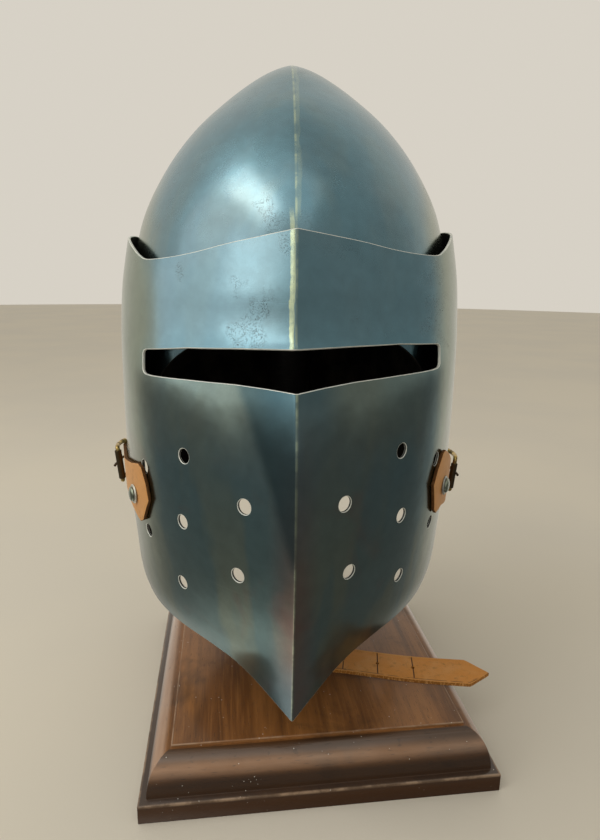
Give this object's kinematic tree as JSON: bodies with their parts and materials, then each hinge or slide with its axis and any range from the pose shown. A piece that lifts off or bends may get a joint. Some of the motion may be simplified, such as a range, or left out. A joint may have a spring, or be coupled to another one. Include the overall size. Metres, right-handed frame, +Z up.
{
  "type": "bascinet on a display plinth",
  "caption": "Pointed steel bascinet with a ridged visor, leather buckle tabs and a chin strap, held over a square wooden plinth by a plain post.",
  "frame": {"origin": "on the plinth's underside, below the middle of the skull", "axes": "+Z up; the helmet faces -Y; +X is to the right of a viewer who faces the visor"},
  "size_m": [0.266, 0.2891, 0.447],
  "materials": {
    "blued_steel": "heat blued, satin",
    "bright_steel": "bare, worn",
    "old_brass": "tarnished",
    "dark_brass": "dark, oxidised",
    "tan_leather": "undyed, raw edges",
    "walnut": "stained and varnished, satin",
    "black_paint": "painted matt black"
  },
  "bodies": {
    "root": {"skull": "blued_steel", "visor": "blued_steel", "strap": "tan_leather", "strap_rivet": "blued_steel", "post": "black_paint", "plinth": "walnut", "left_visor_pin": "blued_steel", "left_tab": "tan_leather", "left_tab_washer": "bright_steel", "left_tab_rivet": "blued_steel", "left_buckle_frame": "old_brass", "left_buckle_roller": "dark_brass", "left_buckle_tongue": "dark_brass", "right_visor_pin": "blued_steel", "right_tab": "tan_leather", "right_tab_washer": "bright_steel", "right_tab_rivet": "blued_steel", "right_buckle_frame": "old_brass", "right_buckle_roller": "dark_brass", "right_buckle_tongue": "dark_brass"}
  },
  "joints": []
}
